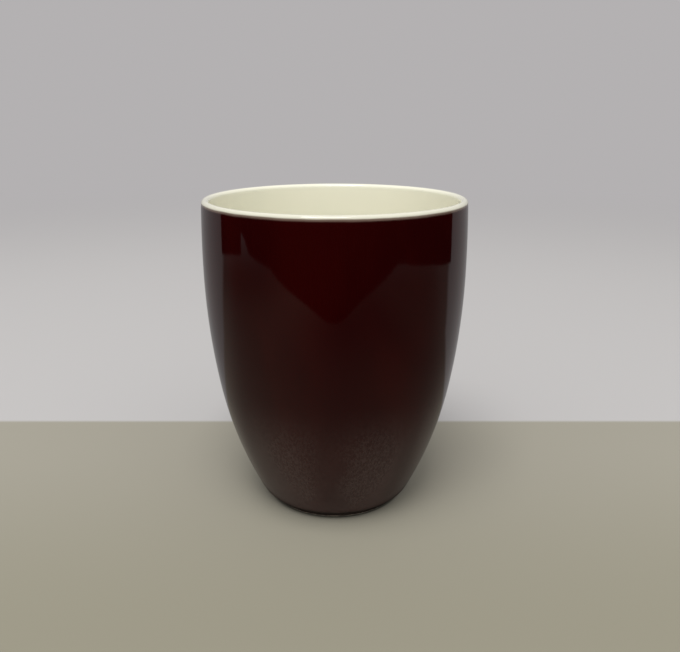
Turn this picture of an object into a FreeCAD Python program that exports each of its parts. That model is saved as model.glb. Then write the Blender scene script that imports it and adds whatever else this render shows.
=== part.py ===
"""A handleless glazed ceramic cup: a tall ovoid wall that narrows to a small foot ring.

The cup is red outside and cream inside, and the cream runs over the lip.
The red runs down the foot ring's outer side too, and leaves only its standing edge bare.
Five solids make it: the fired clay body, the foot ring luted under it, and three glaze coats.
Units are millimetres, +Z is up, and the origin is the centre of the foot's standing face.
Each piece is one closed outline in the half plane (radius, height), turned once round the Z axis.
Every outline is straight lines and tangent arcs, so a coat of even thickness keeps the arcs' centres.
"""

import FreeCAD
import Part
import math
import os

# Overall shape
cup_height = 110.0
belly_radius = 45.6  # the widest circle of the wall
shoulder_height = 23.2  # from the belly up to the rim
lip_lean_deg = 2.9  # the wall leans in this much where it meets the lip
heel_lean_deg = 26.4  # the wall leans out this much where it leaves the heel
heel_round = 3.0

# Wall and floor, measured over the glaze on both sides
lip_thickness = 2.6  # also the wall's thickness from the lip down to the waist
heel_wall_thickness = 4.2
floor_thickness = 4.7
floor_round = 14.0

# Glaze
glaze_thickness = 0.35

# Foot ring
foot_height = 2.4
foot_radius = 25.6  # over the glaze on the ring's outer side
foot_width = 3.2
foot_edge_round = 0.4
foot_bare = 0.4  # the red coat ends this high above the standing face
foot_fillet = 0.5  # between the ring's outer side and the heel
glaze_creep = 0.6  # rounding where the underside glaze climbs the foot ring

full_turn_deg = 360.0


def point(radius, height):
    """A point of an outline: radius from the axis, and height above the standing face."""
    return FreeCAD.Vector(radius, 0.0, height)


def direction(angle_deg):
    """Unit direction in the outline's plane, counted from the radius axis towards +Z."""
    angle = math.radians(angle_deg)
    return point(math.cos(angle), math.sin(angle))


def heading_deg(start, end):
    """The angle of the direction from one point to another, counted as in direction()."""
    return math.degrees(math.atan2(end.z - start.z, end.x - start.x))


def line(start, end):
    return Part.LineSegment(start, end)


def arc(centre, radius, from_deg, to_deg):
    """Arc about a centre, from one angle to another, counted as in direction()."""
    middle_deg = (from_deg + to_deg) / 2.0
    return Part.Arc(
        centre + direction(from_deg) * radius,
        centre + direction(middle_deg) * radius,
        centre + direction(to_deg) * radius,
    )


def radius_between(start, to_centre, end):
    """Radius of the arc that leaves one point square to a direction and reaches another."""
    chord = end - start
    return chord.dot(chord) / (2.0 * chord.dot(to_centre))


def turned(outline):
    """The solid that a closed outline sweeps in one turn round the Z axis."""
    wire = Part.Wire([curve.toShape() for curve in outline])
    origin = FreeCAD.Vector(0.0, 0.0, 0.0)
    upwards = FreeCAD.Vector(0.0, 0.0, 1.0)
    solid = Part.Face(wire).revolve(origin, upwards, full_turn_deg)
    if solid.ShapeType != "Solid":
        solid = Part.Solid(solid.Shells[0])
    if solid.Volume < 0.0:
        solid.reverse()
    return solid


# Heel: the rounding between the coat's underside and the wall
clay_bottom = foot_height + glaze_thickness
foot_clay_radius = foot_radius - glaze_thickness
heel_centre = point(foot_radius + foot_fillet, foot_height + heel_round)
heel_end = heel_centre + direction(-heel_lean_deg) * heel_round
heel_inward = direction(180.0 - heel_lean_deg)
heel_run = direction(90.0 - heel_lean_deg)

# Belly: the height at which the wall stands upright
belly = point(belly_radius, cup_height - shoulder_height)
belly_inward = direction(180.0)
belly_run = direction(90.0)

# Waist: where the lower wall's arc and the upper wall's arc meet, equally far along
# the heel's direction and the belly's direction
span = belly - heel_end
both_runs = heel_run + belly_run
run_spread = 1.0 - heel_run.dot(belly_run)
half_term = span.dot(both_runs)
waist_reach = (
    math.sqrt(half_term**2 + 2.0 * run_spread * span.dot(span)) - half_term
) / (2.0 * run_spread)
waist = (heel_end + belly + (heel_run - belly_run) * waist_reach) * 0.5

# Outer wall: its two arcs and their centres
lower_wall_radius = radius_between(heel_end, heel_inward, waist)
lower_wall_centre = heel_end + heel_inward * lower_wall_radius
upper_wall_radius = radius_between(belly, belly_inward, waist)
upper_wall_centre = belly + belly_inward * upper_wall_radius
waist_lean_deg = 2.0 * (90.0 - heading_deg(waist, belly))  # twice its chord's: the belly is upright

# Lip and shoulder: the shoulder's arc leans in from the belly until it touches the lip's circle
lip_round = lip_thickness / 2.0
lip_drop = shoulder_height - lip_round
shoulder_radius = lip_round + lip_drop / math.sin(math.radians(lip_lean_deg))
shoulder_centre = belly + belly_inward * shoulder_radius
lip_centre = shoulder_centre + direction(lip_lean_deg) * (shoulder_radius - lip_round)

# Bowl: the inner wall's own arc, from the waist to the floor's rounding
waist_inward = direction(180.0 - waist_lean_deg)
waist_inside = waist + waist_inward * lip_thickness
heel_inside = heel_end + heel_inward * heel_wall_thickness
bowl_radius = radius_between(waist_inside, waist_inward, heel_inside)
bowl_centre = waist_inside + waist_inward * bowl_radius

# Floor: its rounding touches the flat floor and the bowl's arc
floor_top = foot_height + floor_thickness
floor_round_rise = floor_top + floor_round - bowl_centre.z
floor_round_reach = math.sqrt((bowl_radius - floor_round) ** 2 - floor_round_rise**2)
floor_round_centre = bowl_centre + point(floor_round_reach, floor_round_rise)
bowl_lean_deg = -heading_deg(bowl_centre, floor_round_centre)


def outside(depth):
    """The cup's outside, from the heel up to the lip, sunk by a depth into the wall."""
    return [
        arc(heel_centre, heel_round - depth, -90.0, -heel_lean_deg),
        arc(lower_wall_centre, lower_wall_radius - depth, -heel_lean_deg, -waist_lean_deg),
        arc(upper_wall_centre, upper_wall_radius - depth, -waist_lean_deg, 0.0),
        arc(shoulder_centre, shoulder_radius - depth, 0.0, lip_lean_deg),
    ]


def lip(depth):
    """The lip's rounding, from the outside over to the inside, sunk by a depth."""
    return [arc(lip_centre, lip_round - depth, lip_lean_deg, 180.0 + lip_lean_deg)]


def inside(depth):
    """The cup's inside, from the lip down to the axis, sunk by a depth into the wall."""
    shoulder_inside = shoulder_radius - lip_thickness + depth
    upper_wall_inside = upper_wall_radius - lip_thickness + depth
    floor_edge = point(floor_round_centre.x, floor_top - depth)
    return [
        arc(shoulder_centre, shoulder_inside, lip_lean_deg, 0.0),
        arc(upper_wall_centre, upper_wall_inside, 0.0, -waist_lean_deg),
        arc(bowl_centre, bowl_radius + depth, -waist_lean_deg, -bowl_lean_deg),
        arc(floor_round_centre, floor_round + depth, -bowl_lean_deg, -90.0),
        line(floor_edge, point(0.0, floor_top - depth)),
    ]


def clay_body():
    """The fired clay shell: floor, wall and lip, bare of glaze."""
    underside = point(0.0, clay_bottom)
    return turned(
        [
            line(underside, point(heel_centre.x, clay_bottom)),
            *outside(glaze_thickness),
            *lip(glaze_thickness),
            *inside(glaze_thickness),
            line(point(0.0, floor_top - glaze_thickness), underside),
        ]
    )


def foot_ring():
    """The clay ring that the cup stands on, with both lower edges rounded."""
    inner_radius = foot_radius - foot_width
    outer_corner = point(foot_clay_radius - foot_edge_round, foot_edge_round)
    inner_corner = point(inner_radius + foot_edge_round, foot_edge_round)
    return turned(
        [
            line(point(inner_corner.x, 0.0), point(outer_corner.x, 0.0)),
            arc(outer_corner, foot_edge_round, -90.0, 0.0),
            line(point(foot_clay_radius, foot_edge_round), point(foot_clay_radius, clay_bottom)),
            line(point(foot_clay_radius, clay_bottom), point(inner_radius, clay_bottom)),
            line(point(inner_radius, clay_bottom), point(inner_radius, foot_edge_round)),
            arc(inner_corner, foot_edge_round, 180.0, 270.0),
        ]
    )


def outer_glaze():
    """The red coat: up the foot ring's outer side, round the heel and up to the lip."""
    rolled_edge = point(foot_clay_radius, foot_bare + glaze_thickness)
    fillet_centre = point(heel_centre.x, foot_height - foot_fillet)
    skin = outside(0.0)
    clay_side = outside(glaze_thickness)
    return turned(
        [
            arc(rolled_edge, glaze_thickness, -90.0, 0.0),
            line(point(foot_radius, rolled_edge.z), point(foot_radius, fillet_centre.z)),
            arc(fillet_centre, foot_fillet, 180.0, 90.0),
            *skin,
            line(skin[-1].EndPoint, clay_side[-1].EndPoint),
            *reversed(clay_side),
            line(point(heel_centre.x, clay_bottom), point(foot_clay_radius, clay_bottom)),
            line(point(foot_clay_radius, clay_bottom), point(foot_clay_radius, foot_bare)),
        ]
    )


def lining_glaze():
    """The cream coat: the whole lip down to the red coat's edge, the inner wall and the floor."""
    skin = [*lip(0.0), *inside(0.0)]
    clay_side = [*lip(glaze_thickness), *inside(glaze_thickness)]
    return turned(
        [
            *skin,
            line(skin[-1].EndPoint, clay_side[-1].EndPoint),
            *reversed(clay_side),
            line(clay_side[0].StartPoint, skin[0].StartPoint),
        ]
    )


def underside_glaze():
    """The coat on the floor's underside, inside the foot ring, climbing the ring a little."""
    ring_inside = foot_radius - foot_width
    creep_centre = point(ring_inside - glaze_creep, foot_height - glaze_creep)
    return turned(
        [
            line(point(0.0, foot_height), point(creep_centre.x, foot_height)),
            arc(creep_centre, glaze_creep, 90.0, 0.0),
            line(point(ring_inside, creep_centre.z), point(ring_inside, clay_bottom)),
            line(point(ring_inside, clay_bottom), point(0.0, clay_bottom)),
            line(point(0.0, clay_bottom), point(0.0, foot_height)),
        ]
    )


def main():
    os.makedirs("parts", exist_ok=True)
    pieces = {
        "clay_body": clay_body(),
        "foot_ring": foot_ring(),
        "outer_glaze": outer_glaze(),
        "lining_glaze": lining_glaze(),
        "underside_glaze": underside_glaze(),
    }
    for name, solid in pieces.items():
        solid.exportStep(f"parts/{name}.step")
        box = solid.optimalBoundingBox()
        print(
            f"{name}: valid {solid.isValid()}, {solid.Volume:.1f} mm3,"
            f" radius {box.XMax:.2f}, height {box.ZMin:.2f} to {box.ZMax:.2f}"
        )


main()
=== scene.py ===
"""Looks of a handleless glazed cup: red glaze outside, cream glaze inside, a small foot ring.

Each new piece is drawn as a profile in the half plane of radius and height, and spun once
round the Z axis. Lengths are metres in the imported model's own frame: +Z is up, and the
origin is the middle of the foot's standing face.
"""

import logging
import math
from dataclasses import dataclass, field
from enum import Enum
from functools import cached_property

import bpy
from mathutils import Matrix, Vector

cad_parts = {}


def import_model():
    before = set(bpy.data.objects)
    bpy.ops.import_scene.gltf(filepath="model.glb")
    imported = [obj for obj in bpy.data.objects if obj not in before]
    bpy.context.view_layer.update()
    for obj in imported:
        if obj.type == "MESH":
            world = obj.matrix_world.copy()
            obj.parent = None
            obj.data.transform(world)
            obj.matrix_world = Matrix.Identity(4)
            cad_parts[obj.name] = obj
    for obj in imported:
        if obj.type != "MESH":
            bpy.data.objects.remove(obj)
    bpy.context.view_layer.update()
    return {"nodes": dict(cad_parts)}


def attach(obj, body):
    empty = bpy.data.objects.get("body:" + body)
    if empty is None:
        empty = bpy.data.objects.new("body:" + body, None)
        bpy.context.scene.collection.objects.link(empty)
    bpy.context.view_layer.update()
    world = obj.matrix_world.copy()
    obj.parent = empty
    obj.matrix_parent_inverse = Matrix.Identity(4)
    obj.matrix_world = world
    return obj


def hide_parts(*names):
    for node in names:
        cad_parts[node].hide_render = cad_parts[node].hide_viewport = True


Colour = tuple[float, float, float]
Triple = tuple[float, float, float]
Pair = tuple[float, float]
Socket = bpy.types.NodeSocket
Value = Socket | float | Triple
REPORT = logging.getLogger("glazed_cup")
BODY = "root"


class Slot(Enum):
    """Material slot names that go with the new pieces, handed to settle() but not applied."""

    FOOT = "foot_clay"
    RED = "red_glaze"
    CREAM = "cream_glaze"


def place(radius: float, height: float) -> Vector:
    """A point of a profile."""
    return Vector((radius, height))


def direction(angle_deg: float) -> Vector:
    """Unit direction in the profile's plane, counted from the radius axis upwards."""
    angle = math.radians(angle_deg)
    return place(math.cos(angle), math.sin(angle))


def heading_deg(start: Vector, end: Vector) -> float:
    """The angle of the direction from one point to another, counted as in direction()."""
    way = end - start
    return math.degrees(math.atan2(way.y, way.x))


def radius_between(start: Vector, to_centre: Vector, end: Vector) -> float:
    """Radius of the arc that leaves one point square to a direction and reaches another.

    Args:
        start: Where the arc begins.
        to_centre: Unit direction from there to the arc's centre.
        end: Where the arc ends.

    Returns:
        The arc's radius.
    """
    chord = end - start
    return chord.dot(chord) / (2.0 * chord.dot(to_centre))


def eased(value: float, low: float, high: float) -> float:
    """Rises smoothly from 0 at a low value to 1 at a high one.

    Args:
        value: Where to look.
        low: Where the rise begins.
        high: Where the rise ends.

    Returns:
        The share of the rise, from 0 to 1.
    """
    share = min(max((value - low) / (high - low), 0.0), 1.0)
    return share * share * (3.0 - 2.0 * share)


@dataclass(frozen=True)
class Station:
    """A point of a profile, and the way that the surface faces there."""

    spot: Vector
    facing: Vector

    def raised(self, amount: float) -> Vector:
        """The point at this height above the surface."""
        return self.spot + self.facing * amount


@dataclass(frozen=True)
class Arc:
    """Part of a circle in the profile's plane, facing away from its centre or towards it."""

    centre: Vector
    radius: float
    start_deg: float
    end_deg: float
    hollow: bool = False

    def stations(self, spacing: float, fewest: int = 6) -> list[Station]:
        """Stations along the arc, its two ends included.

        Args:
            spacing: The longest step along the arc.
            fewest: The least number of steps, however short the arc is.

        Returns:
            The stations in running order.
        """
        turn = self.end_deg - self.start_deg
        length = abs(math.radians(turn)) * self.radius
        steps = max(fewest, math.ceil(length / spacing))
        sign = -1.0 if self.hollow else 1.0
        found = []
        for step in range(steps + 1):
            way = direction(self.start_deg + turn * step / steps)
            found.append(Station(self.centre + way * self.radius, way * sign))
        return found


@dataclass(frozen=True)
class CupForm:
    """The cup's driving sizes, and the tangent arcs that they give its profile.

    The red coat laps over the cream one from lap_bottom upwards, and is lap_depth thick there.
    """

    height: float = 0.110
    belly_radius: float = 0.0456
    shoulder_height: float = 0.0232
    lip_lean_deg: float = 2.9
    heel_lean_deg: float = 26.4
    heel_round: float = 0.003
    lip_thickness: float = 0.0026
    heel_wall_thickness: float = 0.0042
    floor_thickness: float = 0.0047
    floor_round: float = 0.014
    glaze: float = 0.00035
    foot_height: float = 0.0024
    foot_radius: float = 0.0256
    foot_width: float = 0.0032
    foot_edge_round: float = 0.0004
    foot_bare: float = 0.0004
    foot_fillet: float = 0.0005
    glaze_creep: float = 0.0006
    lap_bottom: float = 0.1076
    lap_depth: float = 0.00012
    wall_spacing: float = 0.0012
    floor_spacing: float = 0.002
    wall_steps: int = 12
    lip_steps: int = 20

    @property
    def clay_bottom(self) -> float:
        """Height of the clay's underside, over the coat that hangs below it."""
        return self.foot_height + self.glaze

    @property
    def foot_clay_radius(self) -> float:
        """Radius of the foot ring's clay, under the coat on its outer side."""
        return self.foot_radius - self.glaze

    @property
    def floor_top(self) -> float:
        """Height of the floor inside the cup."""
        return self.foot_height + self.floor_thickness

    @cached_property
    def heel_centre(self) -> Vector:
        """Centre of the heel's rounding."""
        reach = self.foot_radius + self.foot_fillet
        return place(reach, self.foot_height + self.heel_round)

    @cached_property
    def heel_end(self) -> Vector:
        """Where the heel's rounding passes into the wall."""
        return self.heel_centre + direction(-self.heel_lean_deg) * self.heel_round

    @cached_property
    def heel_inward(self) -> Vector:
        """Direction into the wall at the heel."""
        return direction(180.0 - self.heel_lean_deg)

    @cached_property
    def belly(self) -> Vector:
        """The widest point of the wall."""
        return place(self.belly_radius, self.height - self.shoulder_height)

    @cached_property
    def waist(self) -> Vector:
        """Where the lower wall's arc meets the upper wall's arc."""
        span = self.belly - self.heel_end
        heel_run = direction(90.0 - self.heel_lean_deg)
        belly_run = direction(90.0)
        spread = 1.0 - heel_run.dot(belly_run)
        half_term = span.dot(heel_run + belly_run)
        root = math.sqrt(half_term**2 + 2.0 * spread * span.dot(span))
        reach = (root - half_term) / (2.0 * spread)
        return (self.heel_end + self.belly + (heel_run - belly_run) * reach) * 0.5

    @cached_property
    def lower_wall(self) -> tuple[Vector, float]:
        """Centre and radius of the lower wall's arc."""
        radius = radius_between(self.heel_end, self.heel_inward, self.waist)
        return self.heel_end + self.heel_inward * radius, radius

    @cached_property
    def upper_wall(self) -> tuple[Vector, float]:
        """Centre and radius of the upper wall's arc."""
        inward = direction(180.0)
        radius = radius_between(self.belly, inward, self.waist)
        return self.belly + inward * radius, radius

    @cached_property
    def waist_lean_deg(self) -> float:
        """How far the wall leans out at the waist."""
        return -heading_deg(self.upper_wall[0], self.waist)

    @cached_property
    def shoulder(self) -> tuple[Vector, float]:
        """Centre and radius of the shoulder's arc, which leans in from the belly."""
        lip_round = self.lip_thickness / 2.0
        drop = self.shoulder_height - lip_round
        radius = lip_round + drop / math.sin(math.radians(self.lip_lean_deg))
        return self.belly + direction(180.0) * radius, radius

    @cached_property
    def lip(self) -> tuple[Vector, float]:
        """Centre and radius of the lip's rounding."""
        centre, radius = self.shoulder
        lip_round = self.lip_thickness / 2.0
        return centre + direction(self.lip_lean_deg) * (radius - lip_round), lip_round

    @cached_property
    def bowl(self) -> tuple[Vector, float]:
        """Centre and radius of the inner wall's arc, from the waist down to the floor."""
        inward = direction(180.0 - self.waist_lean_deg)
        start = self.waist + inward * self.lip_thickness
        end = self.heel_end + self.heel_inward * self.heel_wall_thickness
        radius = radius_between(start, inward, end)
        return start + inward * radius, radius

    @cached_property
    def floor_round_centre(self) -> Vector:
        """Centre of the rounding between the inner wall and the floor."""
        centre, radius = self.bowl
        rise = self.floor_top + self.floor_round - centre.y
        reach = math.sqrt((radius - self.floor_round) ** 2 - rise**2)
        return centre + place(reach, rise)

    def outside(self) -> list[Station]:
        """Stations over the outside, from the heel's underside up to the lip."""
        heel, waist, lip = self.heel_lean_deg, self.waist_lean_deg, self.lip_lean_deg
        arcs = [
            Arc(self.heel_centre, self.heel_round, -90.0, -heel),
            Arc(*self.lower_wall, -heel, -waist),
            Arc(*self.upper_wall, -waist, 0.0),
            Arc(*self.shoulder, 0.0, lip),
        ]
        return self.run_on(arcs, self.wall_steps)

    def over_lip(self) -> list[Station]:
        """Stations over the lip, from its outer side to its inner side."""
        start = self.lip_lean_deg
        return self.run_on([Arc(*self.lip, start, start + 180.0)], self.lip_steps)

    def inside(self) -> list[Station]:
        """Stations down the inner wall and over the floor to the axis."""
        waist, lip = self.waist_lean_deg, self.lip_lean_deg
        bowl_lean = -heading_deg(self.bowl[0], self.floor_round_centre)
        thickness = self.lip_thickness
        shoulder, upper_wall = self.shoulder, self.upper_wall
        arcs = [
            Arc(shoulder[0], shoulder[1] - thickness, lip, 0.0, hollow=True),
            Arc(upper_wall[0], upper_wall[1] - thickness, 0.0, -waist, hollow=True),
            Arc(*self.bowl, -waist, -bowl_lean, hollow=True),
            Arc(self.floor_round_centre, self.floor_round, -bowl_lean, -90.0, hollow=True),
        ]
        found = self.run_on(arcs, self.wall_steps)
        reach = self.floor_round_centre.x
        steps = math.ceil(reach / self.floor_spacing)
        upwards = place(0.0, 1.0)
        for step in range(1, steps + 1):
            radius = reach * (1.0 - step / steps)
            found.append(Station(place(radius, self.floor_top), upwards))
        return found

    def run_on(self, arcs: list[Arc], fewest: int) -> list[Station]:
        """Stations along arcs that follow one another.

        Args:
            arcs: The arcs in running order, each beginning where the last one ends.
            fewest: The least number of steps on each arc.

        Returns:
            The stations, each joint given once.
        """
        found: list[Station] = []
        for arc in arcs:
            stations = arc.stations(self.wall_spacing, fewest)
            found.extend(stations if not found else stations[1:])
        return found


@dataclass(frozen=True)
class Lathe:
    """Spins profiles into round meshes."""

    steps: int = 192
    weld: float = 0.000002
    crease_deg: float = 40.0

    def spin(self, name: str, profile: list[Vector]) -> bpy.types.Object:
        """Draws a profile from a single vertex and spins it once round the Z axis.

        Args:
            name: The piece's name.
            profile: Its points in running order, from pole to pole, or closed on itself.

        Returns:
            The piece, with its seam and poles closed and its faces pointing outwards.
        """
        first = profile[0]
        bpy.ops.object.select_all(action="DESELECT")
        bpy.ops.mesh.primitive_plane_add(size=self.weld, location=(0.0, 0.0, 0.0))
        piece = bpy.context.active_object
        piece.name = name
        piece.data.name = name
        bpy.ops.object.mode_set(mode="EDIT")
        bpy.ops.mesh.select_all(action="SELECT")
        bpy.ops.mesh.merge(type="CENTER")
        bpy.ops.transform.translate(value=(first.x, 0.0, first.y))
        for start, end in zip(profile, profile[1:]):
            step = end - start
            move = {"value": (step.x, 0.0, step.y)}
            bpy.ops.mesh.extrude_region_move(TRANSFORM_OT_translate=move)
        bpy.ops.mesh.select_all(action="SELECT")
        bpy.ops.mesh.spin(
            steps=self.steps,
            angle=math.tau,
            center=(0.0, 0.0, 0.0),
            axis=(0.0, 0.0, 1.0),
            use_auto_merge=False,
        )
        bpy.ops.mesh.select_all(action="SELECT")
        bpy.ops.mesh.remove_doubles(threshold=self.weld)
        bpy.ops.mesh.normals_make_consistent(inside=False)
        bpy.ops.object.mode_set(mode="OBJECT")
        bpy.ops.object.shade_smooth_by_angle(angle=math.radians(self.crease_deg))
        return piece


@dataclass(frozen=True)
class Unevenness:
    """How a coat's edge wanders up and down, within a band of heights."""

    name: str
    low: float
    high: float
    wander: float
    grain: float

    def apply(self, piece: bpy.types.Object) -> None:
        """Pushes the piece's vertices up and down within the band, most at its middle.

        Args:
            piece: The piece, active and in object mode.
        """
        group = piece.vertex_groups.new(name=self.name)
        middle = (self.low + self.high) / 2.0
        half = (self.high - self.low) / 2.0
        for vertex in piece.data.vertices:
            share = 1.0 - eased(abs(vertex.co.z - middle), 0.0, half)
            if share > 0.0:
                group.add([vertex.index], share, "REPLACE")
        cloud = bpy.data.textures.new(self.name, "CLOUDS")
        cloud.noise_scale = self.grain
        wave = piece.modifiers.new(self.name, "DISPLACE")
        wave.texture = cloud
        wave.texture_coords = "LOCAL"
        wave.direction = "Z"
        wave.strength = self.wander
        wave.vertex_group = group.name
        bpy.ops.object.modifier_apply(modifier=wave.name)
        piece.vertex_groups.clear()


@dataclass(frozen=True)
class Grain:
    """A noise's size of features in metres, how far they stretch upright, and its layers."""

    size: float
    stretch: float = 1.0
    layers: float = 2.0


class NodeBench:
    """Lays out the nodes of one tree."""

    def __init__(self, tree: bpy.types.NodeTree) -> None:
        """Takes the tree to work in."""
        self.tree = tree

    def add(self, kind: str, inputs: dict[int | str, Value], **settings: str) -> bpy.types.Node:
        """Adds a node.

        Args:
            kind: The node's type.
            inputs: Values or sockets for its inputs, by name or number.
            settings: Its other settings.

        Returns:
            The node.
        """
        node = self.tree.nodes.new(kind)
        for key, value in settings.items():
            setattr(node, key, value)
        for key, value in inputs.items():
            self.feed(node.inputs[key], value)
        return node

    def feed(self, socket: Socket, value: Value) -> None:
        """Links a socket to another one, or sets its value."""
        if isinstance(value, Socket):
            self.tree.links.new(value, socket)
        elif socket.type == "RGBA":
            socket.default_value = (*value, 1.0)
        else:
            socket.default_value = value

    def ramp(self, value: Value, ends: Pair, to: Pair = (0.0, 1.0)) -> Socket:
        """Maps a value smoothly.

        Args:
            value: What to map.
            ends: The two values where the change begins and ends.
            to: What they become.

        Returns:
            The mapped socket, held at its ends.
        """
        inputs = {"Value": value, "From Min": ends[0], "From Max": ends[1]}
        inputs |= {"To Min": to[0], "To Max": to[1]}
        return self.add("ShaderNodeMapRange", inputs, interpolation_type="SMOOTHSTEP").outputs[0]

    def maths(self, operation: str, first: Value, second: Value) -> Socket:
        """The result of an operation on two values."""
        return self.add("ShaderNodeMath", {0: first, 1: second}, operation=operation).outputs[0]


class ShaderBench(NodeBench):
    """Lays out the nodes of one surface."""

    COLOUR_A = 6
    COLOUR_B = 7
    COLOUR_OUT = 2

    def __init__(self, name: str) -> None:
        """Opens a material with a bare shader and the piece's own coordinates."""
        self.material = bpy.data.materials.new(name)
        self.material.use_nodes = True
        super().__init__(self.material.node_tree)
        self.shader = self.tree.nodes["Principled BSDF"]
        self.spot = self.add("ShaderNodeTexCoord", {}).outputs["Object"]
        split = self.add("ShaderNodeSeparateXYZ", {0: self.spot})
        self.across, self.along, self.height = split.outputs

    def radius(self) -> Socket:
        """Distance from the piece's axis."""
        flat = self.add("ShaderNodeCombineXYZ", {0: self.across, 1: self.along})
        inputs = {0: flat.outputs[0]}
        return self.add("ShaderNodeVectorMath", inputs, operation="LENGTH").outputs["Value"]

    def apart(self, middle: Triple) -> Socket:
        """Distance from a point."""
        inputs = {0: self.spot, 1: middle}
        return self.add("ShaderNodeVectorMath", inputs, operation="DISTANCE").outputs["Value"]

    def noise(self, grain: Grain) -> Socket:
        """Cloudy noise from 0 to 1, about a half on average."""
        upright = grain.size * grain.stretch
        scale = (1.0 / grain.size, 1.0 / grain.size, 1.0 / upright)
        spot = self.add("ShaderNodeMapping", {"Vector": self.spot, "Scale": scale})
        inputs = {"Vector": spot.outputs[0], "Scale": 1.0, "Detail": grain.layers}
        return self.add("ShaderNodeTexNoise", inputs).outputs[0]

    def cells(self, size: float) -> Socket:
        """Distance to the middle of the nearest cell, in cells of a size in metres."""
        inputs = {"Vector": self.spot, "Scale": 1.0 / size}
        return self.add("ShaderNodeTexVoronoi", inputs).outputs["Distance"]

    def wandering(self, grain: Grain, reach: float, ends: Pair) -> Socket:
        """A change over height whose place wanders round the piece.

        Args:
            grain: The noise that it follows.
            reach: How far apart its lowest and its highest place can be.
            ends: The two heights where the change begins and ends on average.

        Returns:
            A socket from 0 to 1.
        """
        wander = self.maths("MULTIPLY", self.noise(grain), reach)
        edge = self.maths("SUBTRACT", self.height, wander)
        middle = reach / 2.0
        return self.ramp(edge, (ends[0] - middle, ends[1] - middle))

    def blend(self, share: Value, first: Value, second: Value) -> Socket:
        """A colour between two colours, by a share from 0 to 1."""
        inputs = {"Factor": share, self.COLOUR_A: first, self.COLOUR_B: second}
        return self.add("ShaderNodeMix", inputs, data_type="RGBA").outputs[self.COLOUR_OUT]

    def scaled(self, colour: Socket, share: Socket) -> Socket:
        """A colour times a share."""
        inputs = {0: colour, "Scale": share}
        return self.add("ShaderNodeVectorMath", inputs, operation="SCALE").outputs[0]

    def either(self, share: Value, first: Value, second: Value) -> Socket:
        """A value between two values, by a share from 0 to 1."""
        inputs = {"Factor": share, "A": first, "B": second}
        return self.add("ShaderNodeMix", inputs, data_type="FLOAT").outputs[0]

    def bump(self, relief: Socket, depth: float, under: Socket | None = None) -> Socket:
        """Relief on the surface.

        Args:
            relief: The socket that gives it, from 0 to 1.
            depth: Its depth in metres.
            under: The normal of the relief that it lies on.

        Returns:
            The bent normal.
        """
        inputs = {"Height": relief, "Distance": depth}
        if under is not None:
            inputs["Normal"] = under
        return self.add("ShaderNodeBump", inputs).outputs[0]

    def finish(self, inputs: dict[str, Value]) -> bpy.types.Material:
        """Feeds the shader's sockets and returns the material."""
        for key, value in inputs.items():
            self.feed(self.shader.inputs[key], value)
        return self.material


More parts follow.
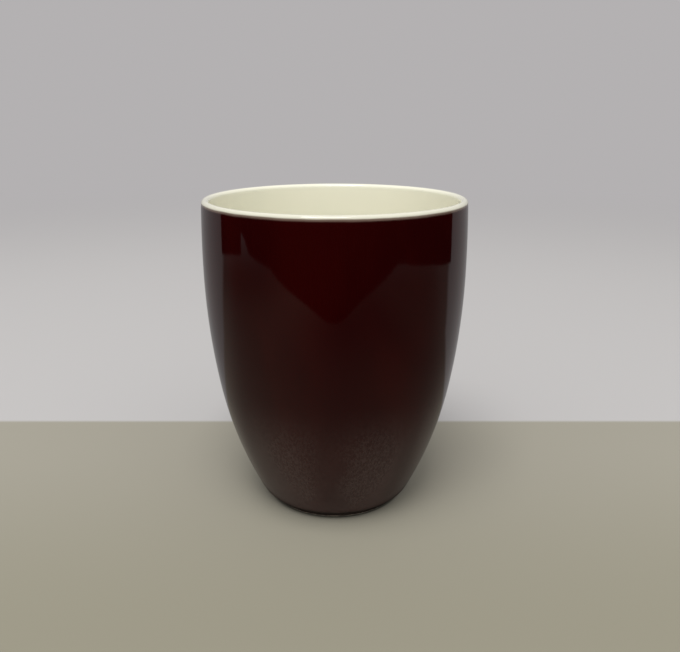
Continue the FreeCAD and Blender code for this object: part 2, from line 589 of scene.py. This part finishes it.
@dataclass(frozen=True)
class RedGlaze:
    """Deep red gloss: hazy in streaks towards the foot with a painted table reflection, painted
    brown shade on the heel, thin on the lip.

    Each streak is its middle and its half width, in degrees round the axis from the front.
    """

    name: str = "oxblood_glaze"
    deep: Colour = (0.022, 0.0008, 0.0008)
    thick: Colour = (0.017, 0.0006, 0.0008)
    drift: Grain = Grain(0.018, stretch=2.5)
    drift_ends: Pair = (0.35, 0.65)
    haze_reflection_tint: Colour = (0.085, 0.058, 0.052)
    thin: Colour = (0.20, 0.14, 0.115)
    thin_ends: Pair = (0.10785, 0.1088)
    thin_power: float = 2.0
    edge: Grain = Grain(0.008)
    edge_wander: float = 0.0004
    painted_heel_shade: Colour = (0.021, 0.0145, 0.0115)
    painted_heel_shade_heights: Pair = (0.0046, 0.0032)
    haze_reflection_share: float = 0.47
    haze_reflection_top: Pair = (0.052, 0.026)
    haze_reflection_foot: Pair = (0.0008, 0.0023)
    bubbles: Grain = Grain(0.00065, stretch=2.0)
    bubble_ends: Pair = (0.34, 0.66)
    bubble_shares: Pair = (0.4, 1.0)
    band_ends: Pair = (0.015, 0.006)
    band_share: float = 0.8
    between_streaks: float = 0.32
    streaks: tuple[Pair, ...] = (
        (-27.0, 30.0),
        (20.0, 27.0),
        (55.0, 17.0),
        (92.0, 25.0),
        (138.0, 20.0),
        (-156.0, 20.0),
        (-122.0, 19.0),
        (-88.0, 21.0),
        (-62.0, 15.0),
    )
    sway: Grain = Grain(0.009, stretch=2.0)
    sway_ends: Pair = (0.3, 0.7)
    sway_turns: Pair = (-0.05, 0.05)
    gloss: float = 0.06
    dulled: float = 0.15
    swell: Grain = Grain(0.014, layers=1.0)
    swell_depth: float = 0.00003
    peel: Grain = Grain(0.0022, layers=1.0)
    peel_depth: float = 0.0000025
    bubble_depth: float = 0.000002
    refraction: float = 1.5

    def material(self) -> bpy.types.Material:
        """Builds the surface."""
        bench = ShaderBench(self.name)
        drift = bench.ramp(bench.noise(self.drift), self.drift_ends)
        colour = bench.blend(drift, self.deep, self.thick)
        # Painted reflection: the lower wall's colour is lightened in streaks, partly for fine
        # bubbles in the glaze and partly as a painted reflection of the table.
        haze_and_reflection = self.haze_and_reflection(bench)
        haze_reflection_tint = bench.maths("MULTIPLY", haze_and_reflection, self.haze_reflection_share)
        colour = bench.blend(haze_reflection_tint, colour, self.haze_reflection_tint)
        thinned = bench.wandering(self.edge, self.edge_wander, self.thin_ends)
        thinned = bench.maths("POWER", thinned, self.thin_power)
        colour = bench.blend(thinned, colour, self.thin)
        # Painted shade: the heel, which sits in shadow, gets a dull brown in place of the red.
        painted_heel_shade = bench.ramp(bench.height, self.painted_heel_shade_heights)
        colour = bench.blend(painted_heel_shade, colour, self.painted_heel_shade)
        roughness = bench.ramp(haze_and_reflection, (0.0, 1.0), (self.gloss, self.dulled))
        swell = bench.bump(bench.noise(self.swell), self.swell_depth)
        peel = bench.bump(bench.noise(self.peel), self.peel_depth, swell)
        pitted = bench.bump(haze_and_reflection, self.bubble_depth, peel)
        inputs = {"Base Color": colour, "Roughness": roughness, "Normal": pitted}
        return bench.finish(inputs | {"IOR": self.refraction})

    def haze_and_reflection(self, bench: ShaderBench) -> Socket:
        """Upright streaks of fine bubbles in the lower wall, over a band at its foot; in the colour
        they also carry a painted reflection of the table.

        Args:
            bench: The glaze's nodes.

        Returns:
            A socket from 0 to 1.
        """
        frontward = bench.maths("MULTIPLY", bench.along, -1.0)
        bearing = bench.maths("ARCTAN2", bench.across, frontward)
        sway = bench.ramp(bench.noise(self.sway), self.sway_ends, self.sway_turns)
        bearing = bench.maths("ADD", bearing, sway)
        streaks: Value = 0.0
        for middle, half_width in self.streaks:
            off = bench.maths("SUBTRACT", bearing, math.radians(middle))
            off = bench.maths("ABSOLUTE", off, 0.0)
            streak = bench.ramp(off, (math.radians(half_width), 0.0))
            streaks = bench.maths("MAXIMUM", streak, streaks)
        streaks = bench.ramp(streaks, (0.0, 1.0), (self.between_streaks, 1.0))
        band = bench.ramp(bench.height, self.band_ends, (0.0, self.band_share))
        haze_and_reflection = bench.maths("MAXIMUM", streaks, band)
        bubbles = bench.ramp(bench.noise(self.bubbles), self.bubble_ends, self.bubble_shares)
        top = bench.ramp(bench.height, self.haze_reflection_top)
        foot = bench.ramp(bench.height, self.haze_reflection_foot)
        for share in (bubbles, top, foot):
            haze_and_reflection = bench.maths("MULTIPLY", haze_and_reflection, share)
        return haze_and_reflection


@dataclass(frozen=True)
class CreamGlaze:
    """Warm cream gloss, deeper where it pools on the floor, stained below the lip, and with painted
    shade on the lip's outer side.
    """

    body: Colour = (0.905, 0.89, 0.75)
    cool: Colour = (0.89, 0.882, 0.742)
    drift: Grain = Grain(0.022, stretch=1.5)
    drift_ends: Pair = (0.35, 0.65)
    pooled: Colour = (0.78, 0.74, 0.57)
    pool_heights: Pair = (0.02, 0.0068)
    lip: Colour = (0.88, 0.87, 0.74)
    lip_outer_shade: Colour = (0.715, 0.705, 0.595)
    lip_heights: Pair = (0.1065, 0.1092)
    lip_shade_radii: Pair = (0.0433, 0.0449)
    speck: Colour = (0.42, 0.33, 0.22)
    speck_share: float = 0.5
    specked: Grain = Grain(0.006)
    specked_ends: Pair = (0.62, 0.72)
    speck_cell: float = 0.0016
    speck_ends: Pair = (0.12, 0.05)
    stain: Colour = (0.20, 0.14, 0.115)
    stain_heights: Pair = (0.1093, 0.10877)
    stain_radii: Pair = (0.0440, 0.0442)
    edge: Grain = Grain(0.008)
    edge_wander: float = 0.0004
    gloss: Pair = (0.07, 0.12)
    gloss_drift: Grain = Grain(0.009)
    gloss_ends: Pair = (0.3, 0.7)
    swell: Grain = Grain(0.011, stretch=0.5, layers=1.0)
    swell_depth: float = 0.00003
    peel: Grain = Grain(0.0025, layers=1.0)
    peel_depth: float = 0.000003
    refraction: float = 1.55

    def material(self) -> bpy.types.Material:
        """Builds the surface."""
        bench = ShaderBench("cream_glaze")
        drift = bench.ramp(bench.noise(self.drift), self.drift_ends)
        colour = bench.blend(drift, self.body, self.cool)
        pool = bench.ramp(bench.height, self.pool_heights)
        colour = bench.blend(pool, colour, self.pooled)
        # Painted shade: the lip's outer side takes a darker copy of the cream than its inner side.
        crest = bench.ramp(bench.height, self.lip_heights)
        outside = bench.ramp(bench.radius(), self.lip_shade_radii)
        lip = bench.blend(outside, self.lip, self.lip_outer_shade)
        colour = bench.blend(crest, colour, lip)
        specked = bench.ramp(bench.noise(self.specked), self.specked_ends)
        dots = bench.ramp(bench.cells(self.speck_cell), self.speck_ends)
        specks = bench.maths("MULTIPLY", specked, dots)
        specks = bench.maths("MULTIPLY", specks, self.speck_share)
        colour = bench.blend(specks, colour, self.speck)
        colour = bench.blend(self.stained(bench), colour, self.stain)
        roughness = bench.ramp(bench.noise(self.gloss_drift), self.gloss_ends, self.gloss)
        swell = bench.bump(bench.noise(self.swell), self.swell_depth)
        peel = bench.bump(bench.noise(self.peel), self.peel_depth, swell)
        inputs = {"Base Color": colour, "Roughness": roughness, "Normal": peel}
        return bench.finish(inputs | {"IOR": self.refraction})

    def stained(self, bench: ShaderBench) -> Socket:
        """How far the red coat has bled into the lip's outer side, from 0 to 1."""
        bled = bench.wandering(self.edge, self.edge_wander, self.stain_heights)
        outer = bench.ramp(bench.radius(), self.stain_radii)
        return bench.maths("MULTIPLY", bled, outer)


@dataclass(frozen=True)
class BareClay:
    """Fired clay without glaze: matt, grainy, and another colour in patches near its bottom."""

    name: str
    light: Colour
    dark: Colour
    grit: Colour
    low_tint: Colour
    low_tint_top: float
    drift: Grain = Grain(0.006)
    drift_ends: Pair = (0.35, 0.65)
    grit_cell: float = 0.0007
    grit_ends: Pair = (0.3, 0.12)
    grit_share: float = 0.5
    low_tint_patches: Grain = Grain(0.002)
    low_tint_patch_ends: Pair = (0.3, 0.6)
    roughness: Pair = (0.72, 0.92)
    pores: Grain = Grain(0.0004, layers=3.0)
    pore_depth: float = 0.00004
    turning: Grain = Grain(0.0012, stretch=0.2)
    turning_depth: float = 0.00003

    def material(self) -> bpy.types.Material:
        """Builds the surface."""
        bench = ShaderBench(self.name)
        drift = bench.ramp(bench.noise(self.drift), self.drift_ends)
        colour = bench.blend(drift, self.light, self.dark)
        grit = bench.ramp(bench.cells(self.grit_cell), self.grit_ends)
        specks = bench.maths("MULTIPLY", grit, self.grit_share)
        colour = bench.blend(specks, colour, self.grit)
        # Near the bottom the clay takes a second, darker colour in patches; on the foot ring this
        # darkens its standing edge.
        low = bench.ramp(bench.height, (self.low_tint_top, 0.0))
        low_tint = bench.ramp(bench.noise(self.low_tint_patches), self.low_tint_patch_ends)
        colour = bench.blend(bench.maths("MULTIPLY", low, low_tint), colour, self.low_tint)
        roughness = bench.ramp(grit, (0.0, 1.0), self.roughness)
        pores = bench.bump(bench.noise(self.pores), self.pore_depth)
        turning = bench.bump(bench.noise(self.turning), self.turning_depth, pores)
        return bench.finish({"Base Color": colour, "Roughness": roughness, "Normal": turning})


@dataclass
class CupPiece:
    """What all pieces of the cup share."""

    form: CupForm
    lathe: Lathe
    piece: bpy.types.Object = field(init=False)

    def settle(self, node: str, slot: Slot, finish: bpy.types.Material) -> None:
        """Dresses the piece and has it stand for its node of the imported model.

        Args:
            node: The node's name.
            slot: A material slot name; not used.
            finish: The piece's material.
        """
        self.piece.data.materials.clear()
        self.piece.data.materials.append(finish)
        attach(self.piece, BODY)
        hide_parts(node)
        REPORT.info("%s: %d vertices", self.piece.name, len(self.piece.data.vertices))


@dataclass
class RedCoat(CupPiece):
    """The red coat, from the roll of its lower edge on the foot ring to its thin edge on the lip.
    """

    skin_sink: float = 0.00001
    taper_start: float = 0.1081
    edge_thickness: float = 0.00002
    edge_wander: float = 0.0003
    edge_grain: float = 0.005

    def build(self) -> None:
        """Spins the coat and makes its upper edge wander."""
        form = self.form
        stations = form.outside()
        top = stations[-1].spot.y
        thinned = form.lap_depth - self.edge_thickness
        skin = []
        clay_side = []
        for station in stations:
            height = station.spot.y
            sink = thinned * eased(height, self.taper_start, top) + self.skin_sink
            skin.append(station.raised(-sink))
            depth = form.lap_depth if height > form.lap_bottom else form.glaze
            clay_side.append(station.raised(-depth))
        foot = self.foot_stations()
        ring_top = place(form.foot_clay_radius, form.clay_bottom)
        profile = [*foot, *skin, *reversed(clay_side), ring_top, foot[0]]
        self.piece = self.lathe.spin("red_coat", profile)
        reach = top - self.taper_start
        low, high = top - reach, top + reach
        edge = Unevenness("upper_edge", low, high, self.edge_wander, self.edge_grain)
        edge.apply(self.piece)

    def foot_stations(self) -> list[Vector]:
        """Points up the foot ring's outer side, from the roll of the coat's lower edge to the heel.
        """
        form = self.form
        rolled_edge = place(form.foot_clay_radius, form.foot_bare + form.glaze)
        roll = Arc(rolled_edge, form.glaze, -90.0, 0.0)
        fillet_centre = place(form.heel_centre.x, form.foot_height - form.foot_fillet)
        fillet = Arc(fillet_centre, form.foot_fillet, 180.0, 90.0)
        stations = roll.stations(form.wall_spacing)
        stations += fillet.stations(form.wall_spacing)[:-1]
        return [station.spot for station in stations]

    def dress(self) -> None:
        """Glazes the coat."""
        self.settle("outer_glaze", Slot.RED, RedGlaze().material())


@dataclass
class CreamLining(CupPiece):
    """The cream coat over the lip, the inner wall and the floor."""

    rise_start: float = 0.1086
    rise_end: float = 0.1091

    def build(self) -> None:
        """Spins the lining, with the tongue that the red coat laps over."""
        form = self.form
        outside = form.outside()[:-1]
        tongue = [station for station in outside if station.spot.y > form.lap_bottom]
        outer = [*tongue, *form.over_lip()]
        middle = form.lip[0].x
        skin = []
        for station in outer:
            height = station.spot.y
            hidden = station.spot.x > middle
            sink = form.lap_depth * (1.0 - eased(height, self.rise_start, self.rise_end))
            skin.append(station.raised(-sink if hidden else 0.0))
        inner = form.inside()[1:]
        skin.extend(station.spot for station in inner)
        clay_side = [station.raised(-form.glaze) for station in [*outer, *inner]]
        profile = [*reversed(skin), *clay_side]
        self.piece = self.lathe.spin("cream_lining", profile)

    def dress(self) -> None:
        """Glazes the lining."""
        self.settle("lining_glaze", Slot.CREAM, CreamGlaze().material())


@dataclass
class FootRing(CupPiece):
    """The ring that the cup stands on, bare on its standing edge and its inner side."""

    def build(self) -> None:
        """Spins the ring with both lower edges rounded."""
        form = self.form
        rounding = form.foot_edge_round
        inner = form.foot_radius - form.foot_width
        outer_corner = place(form.foot_clay_radius - rounding, rounding)
        inner_corner = place(inner + rounding, rounding)
        outer_edge = Arc(outer_corner, rounding, -90.0, 0.0).stations(form.wall_spacing)
        inner_edge = Arc(inner_corner, rounding, 180.0, 270.0).stations(form.wall_spacing)
        standing = place((outer_corner.x + inner_corner.x) / 2.0, 0.0)
        profile = [
            standing,
            *[station.spot for station in outer_edge],
            place(form.foot_clay_radius, form.clay_bottom),
            place(inner, form.clay_bottom),
            *[station.spot for station in inner_edge],
            standing,
        ]
        self.piece = self.lathe.spin("foot_ring_clay", profile)

    def dress(self) -> None:
        """Gives the ring its bare clay."""
        clay = BareClay(
            name="bare_foot_clay",
            light=(0.56, 0.48, 0.38),
            dark=(0.47, 0.39, 0.30),
            grit=(0.30, 0.24, 0.19),
            low_tint=(0.10, 0.085, 0.07),
            low_tint_top=0.0007,
        )
        self.settle("foot_ring", Slot.FOOT, clay.material())


@dataclass
class UndersideCoat(CupPiece):
    """The coat under the floor, which climbs the foot ring's inner side a little."""

    def build(self) -> None:
        """Spins the coat from pole to pole."""
        form = self.form
        inner = form.foot_radius - form.foot_width
        creep = form.glaze_creep
        centre = place(inner - creep, form.foot_height - creep)
        climb = Arc(centre, creep, 90.0, 0.0).stations(form.wall_spacing)
        steps = math.ceil(centre.x / form.floor_spacing)
        skin = [place(centre.x * step / steps, form.foot_height) for step in range(steps)]
        profile = [
            *skin,
            *[station.spot for station in climb],
            place(inner, form.clay_bottom),
            place(0.0, form.clay_bottom),
        ]
        self.piece = self.lathe.spin("underside_coat", profile)

    def dress(self) -> None:
        """Glazes the coat."""
        self.settle("underside_glaze", Slot.RED, bpy.data.materials[RedGlaze.name])


@dataclass
class ClayBody:
    """The fired clay under the glazes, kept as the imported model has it."""

    piece: bpy.types.Object

    def dress(self) -> None:
        """Gives the clay its own surface."""
        clay = BareClay(
            name="fired_body_clay",
            light=(0.68, 0.60, 0.50),
            dark=(0.60, 0.52, 0.42),
            grit=(0.40, 0.33, 0.27),
            low_tint=(0.55, 0.48, 0.40),
            low_tint_top=0.003,
        )
        finish = clay.material()
        if not self.piece.material_slots:
            self.piece.data.materials.append(finish)
        for slot in self.piece.material_slots:
            slot.material = finish
        REPORT.info("%s: dressed as fired clay", self.piece.name)


@dataclass(frozen=True)
class Lamp:
    """A soft square lamp that faces a point over the table."""

    name: str
    spot: Triple
    side: float
    watts: float
    tint: Colour
    target: Triple = (0.0, 0.0, 0.06)

    def hang(self) -> None:
        """Hangs the lamp."""
        bpy.ops.object.light_add(type="AREA", location=self.spot)
        lamp = bpy.context.active_object
        lamp.name = self.name
        lamp.data.size = self.side
        lamp.data.energy = self.watts
        lamp.data.color = self.tint
        way = Vector(self.target) - Vector(self.spot)
        lamp.rotation_euler = way.to_track_quat("-Z", "Y").to_euler()


@dataclass(frozen=True)
class Screen:
    """A dark upright screen that only reflections meet."""

    name: str
    start: Pair
    end: Pair
    height: float = 0.6

    def stand(self, finish: bpy.types.Material) -> None:
        """Stands the screen on the table from one point to another.

        Args:
            finish: Its material.
        """
        start, end = Vector(self.start), Vector(self.end)
        middle = (start + end) / 2.0
        way = end - start
        turn = math.atan2(way.y, way.x)
        bpy.ops.object.select_all(action="DESELECT")
        bpy.ops.mesh.primitive_plane_add(
            size=1.0,
            location=(middle.x, middle.y, self.height / 2.0),
            rotation=(math.radians(90.0), 0.0, turn),
        )
        screen = bpy.context.active_object
        screen.name = self.name
        screen.scale = (way.length, self.height, 1.0)
        bpy.ops.object.transform_apply(location=True, rotation=True, scale=True)
        screen.data.materials.append(finish)
        screen.visible_camera = False
        screen.visible_diffuse = False
        screen.visible_transmission = False
        screen.visible_shadow = False


@dataclass(frozen=True)
class ScreenLine:
    """The line of dark screens round the cup's front, which shapes the dark zone in its gloss.

    The front comes nearest to the cup in a nose. To each side of it a width says how soon it
    falls back, and a depth how far.
    """

    black: Colour = (0.004, 0.004, 0.004)
    left_wing: tuple[Pair, ...] = (
        (-0.54, 0.13),
        (-0.58, 0.0),
        (-0.59, -0.11),
        (-0.92, -0.16),
        (-0.76, -0.193),
        (-0.60, -0.20),
        (-0.52, -0.245),
        (-0.475, -0.278),
    )
    right_wing: tuple[Pair, ...] = (
        (0.47, -0.305),
        (0.485, -0.21),
        (0.50, -0.04),
        (0.455, 0.165),
    )
    front_ends: Pair = (-0.41, 0.43)
    front_steps: int = 28
    nose: float = -0.245
    left_width: float = 0.09
    right_width: float = 0.095
    left_depth: float = 0.08
    right_depth: float = 0.112

    def points(self) -> list[Pair]:
        """The line's points on the table: the left wing, the front and the right wing."""
        front = []
        left, right = self.front_ends
        for step in range(self.front_steps + 1):
            across = left + (right - left) * step / self.front_steps
            leftward = across < 0.0
            width = self.left_width if leftward else self.right_width
            depth = self.left_depth if leftward else self.right_depth
            share = across**2 / (across**2 + width**2)
            front.append((across, self.nose - depth * share))
        return [*self.left_wing, *front, *self.right_wing]

    def stand(self) -> None:
        """Stands the screens."""
        bench = ShaderBench("dark_screen")
        matt = {"Base Color": self.black, "Roughness": 1.0, "Specular IOR Level": 0.0}
        finish = bench.finish(matt)
        points = self.points()
        for count, ends in enumerate(zip(points, points[1:])):
            Screen(f"dark_screen_{count}", *ends).stand(finish)


@dataclass(frozen=True)
class Air:
    """The pale surroundings far away, and the plain fill that they cast on the cup."""

    sky: Colour = (0.455, 0.44, 0.445)
    fill_tint: Colour = (1.0, 0.985, 0.97)
    fill_ends: Pair = (0.5, -0.8)
    fill_shares: Pair = (0.38, 1.0)

    def seen(self, bench: NodeBench) -> Socket:
        """1 for the rays that should meet the pale surroundings, else 0."""
        rays = bench.add("ShaderNodeLightPath", {}).outputs
        found = rays["Is Camera Ray"]
        for name in ("Is Glossy Ray", "Is Transmission Ray"):
            found = bench.maths("MAXIMUM", found, rays[name])
        return found

    def fill(self, bench: NodeBench) -> Socket:
        """The fill's strength, which is greater from the front than from the back."""
        way = bench.add("ShaderNodeTexCoord", {}).outputs["Generated"]
        split = bench.add("ShaderNodeSeparateXYZ", {0: way})
        return bench.ramp(split.outputs[1], self.fill_ends, self.fill_shares)

    def set_world(self) -> None:
        """Gives the world its pale colour, and a plain fill for the light that it casts."""
        world = bpy.data.worlds.new("studio_air")
        bpy.context.scene.world = world
        world.use_nodes = True
        world.node_tree.nodes.clear()
        bench = NodeBench(world.node_tree)
        light = {"Color": self.fill_tint, "Strength": self.fill(bench)}
        cast = bench.add("ShaderNodeBackground", light)
        shown = bench.add("ShaderNodeBackground", {"Color": self.sky})
        inputs = {0: self.seen(bench), 1: cast.outputs[0], 2: shown.outputs[0]}
        either = bench.add("ShaderNodeMixShader", inputs)
        bench.add("ShaderNodeOutputWorld", {"Surface": either.outputs[0]})


@dataclass(frozen=True)
class Table:
    """The table, and the pale floor past its back edge, which passes into the air far away.

    Each rise of the back edge is its slope, and how far from the middle it begins.
    """

    air: Air
    side: float = 24.0
    front: Colour = (0.320, 0.303, 0.238)
    back: Colour = (0.385, 0.366, 0.310)
    front_to_back: Pair = (-0.09, 0.03)
    pale: Colour = (0.555, 0.546, 0.551)
    roughness: float = 0.7
    specular: float = 0.1
    far_ends: Pair = (0.35, 1.1)
    edge: float = 0.051
    edge_softness: float = 0.0015
    rises: tuple[Pair, ...] = (
        (-0.17, 0.19),
        (-0.285, 0.32),
        (0.29, 0.195),
        (0.472, 0.277),
    )
    painted_contact_shadow_ends: Pair = (0.0254, 0.0263)
    painted_contact_shadow_share: float = 0.3
    mirrored_softness: float = 0.035
    mirrored_pale: float = 0.57
    mirrored_sky: float = 0.66
    shade_middle: Triple = (0.035, -0.235, 0.0)
    shade_ends: Pair = (0.0, 0.25)
    shade_shares: Pair = (0.12, 0.45)
    near_ends: Pair = (0.1, 0.03)
    near_share: float = 0.17
    glow_middle: Triple = (-0.05, -0.05, 0.0)
    glow_ends: Pair = (0.09, 0.0)
    glow_share: float = 0.1
    back_ends: Pair = (-0.03, 0.05)
    back_share: float = 0.13
    right_ends: Pair = (0.035, 0.16)
    right_share: float = 0.54
    left_ends: Pair = (-0.08, -0.45)
    left_share: float = 0.4
    contact_ends: Pair = (0.0265, 0.0305)
    contact_share: float = 0.2

    def material(self) -> bpy.types.Material:
        """Builds the surface."""
        bench = ShaderBench("table_top")
        mirrored = bench.add("ShaderNodeLightPath", {}).outputs["Is Glossy Ray"]
        length = bench.radius()
        beyond = self.beyond(bench, mirrored, length)
        # Painted shade: the table is darker at the front than at the back.
        back = bench.ramp(bench.along, self.front_to_back)
        top = bench.blend(back, self.front, self.back)
        colour = bench.blend(beyond, top, self.pale)
        dimmed = bench.either(beyond, self.shade(bench, length), self.mirrored_pale)
        # Painted contact shadow: the table's own colour is darkened in a narrow ring round the
        # foot.
        painted_contact_shadow = bench.ramp(length, self.painted_contact_shadow_ends, (self.painted_contact_shadow_share, 1.0))
        colour = bench.scaled(colour, bench.either(mirrored, painted_contact_shadow, dimmed))
        far = bench.ramp(length, self.far_ends)
        share = bench.maths("MULTIPLY", far, self.air.seen(bench))
        air_share = bench.either(mirrored, 1.0, self.mirrored_sky)
        glow = {"Color": self.air.sky, "Strength": air_share}
        air = bench.add("ShaderNodeEmission", glow)
        inputs = {0: share, 1: bench.shader.outputs[0], 2: air.outputs[0]}
        either = bench.add("ShaderNodeMixShader", inputs)
        output = bench.tree.nodes["Material Output"]
        bench.feed(output.inputs["Surface"], either.outputs[0])
        matt = {"Roughness": self.roughness, "Specular IOR Level": self.specular}
        return bench.finish({"Base Color": colour} | matt)

    def beyond(self, bench: ShaderBench, mirrored: Socket, length: Socket) -> Socket:
        """Where the pale floor is.

        Args:
            bench: The table's nodes.
            mirrored: 1 for rays that come from a gloss.
            length: Distance from the cup's axis.

        Returns:
            A socket that is 1 past the table's back edge, and 0 on the table.
        """
        edge: Value = self.edge
        for slope, start in self.rises:
            tilted = bench.maths("MULTIPLY", bench.across, slope)
            risen = bench.maths("ADD", tilted, self.edge - abs(slope) * start)
            edge = bench.maths("MAXIMUM", edge, risen)
        edge = bench.either(mirrored, self.edge, edge)
        blur = bench.maths("MULTIPLY", length, self.mirrored_softness)
        blur = bench.maths("ADD", bench.maths("MULTIPLY", blur, mirrored), self.edge_softness)
        border = bench.maths("DIVIDE", bench.maths("SUBTRACT", bench.along, edge), blur)
        return bench.ramp(border, (-1.0, 1.0))

    def shade(self, bench: ShaderBench, length: Socket) -> Socket:
        """Painted light and shade that the table shows only in the cup's gloss.

        Args:
            bench: The table's nodes.
            length: Distance from the cup's axis.

        Returns:
            The share of its own brightness.
        """
        shade = bench.ramp(bench.apart(self.shade_middle), self.shade_ends, self.shade_shares)
        near = bench.ramp(length, self.near_ends, (0.0, self.near_share))
        glow = bench.ramp(bench.apart(self.glow_middle), self.glow_ends, (0.0, self.glow_share))
        back = bench.ramp(bench.along, self.back_ends, (0.0, self.back_share))
        rightward = bench.ramp(bench.across, self.right_ends, (1.0, self.right_share))
        leftward = bench.ramp(bench.across, self.left_ends, (1.0, self.left_share))
        contact = bench.ramp(length, self.contact_ends, (self.contact_share, 1.0))
        for more in (near, glow, back):
            shade = bench.maths("ADD", shade, more)
        for less in (rightward, leftward, contact):
            shade = bench.maths("MULTIPLY", shade, less)
        return shade

    def lay(self) -> None:
        """Lays the table and the floor past it, as one plane."""
        bpy.ops.object.select_all(action="DESELECT")
        bpy.ops.mesh.primitive_plane_add(size=self.side, location=(0.0, 0.0, 0.0))
        plane = bpy.context.active_object
        plane.name = "table"
        plane.data.materials.append(self.material())


@dataclass(frozen=True)
class Camera:
    """The camera at the photograph's viewpoint."""

    eye: Triple = (0.0018, -0.22696, 0.13694)
    tilt_deg: float = 17.951
    lens: float = 34.68
    sensor: float = 36.0
    nearest: float = 0.01

    def stand(self) -> None:
        """Stands the camera there and has the scene use it."""
        tilt = math.radians(90.0 - self.tilt_deg)
        bpy.ops.object.camera_add(location=self.eye, rotation=(tilt, 0.0, 0.0))
        camera = bpy.context.active_object
        camera.name = "photograph_view"
        camera.data.sensor_width = self.sensor
        camera.data.lens = self.lens
        camera.data.clip_start = self.nearest
        bpy.context.scene.camera = camera


@dataclass(frozen=True)
class Studio:
    """The table, its pale surroundings, the screens, the lamps and the camera."""

    air: Air = Air()
    screens: ScreenLine = ScreenLine()
    lamps: tuple[Lamp, ...] = (
        Lamp("front_lamp", (-0.14, -0.53, 1.47), side=0.7, watts=12.6, tint=(1.0, 0.99, 0.96)),
    )
    camera: Camera = Camera()

    def build(self) -> None:
        """Sets the studio up."""
        self.air.set_world()
        Table(self.air).lay()
        self.screens.stand()
        for lamp in self.lamps:
            lamp.hang()
        self.camera.stand()
        bpy.context.scene.view_settings.view_transform = "Standard"


def main() -> None:
    """Builds and dresses the cup, then the studio round it."""
    logging.basicConfig(level=logging.INFO, format="%(name)s: %(message)s")
    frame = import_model()
    form, lathe = CupForm(), Lathe()
    ClayBody(frame["nodes"]["clay_body"]).dress()
    for part in (
        RedCoat(form, lathe),
        CreamLining(form, lathe),
        FootRing(form, lathe),
        UndersideCoat(form, lathe),
    ):
        part.build()
        part.dress()
    Studio().build()


if __name__ == "__main__":
    main()
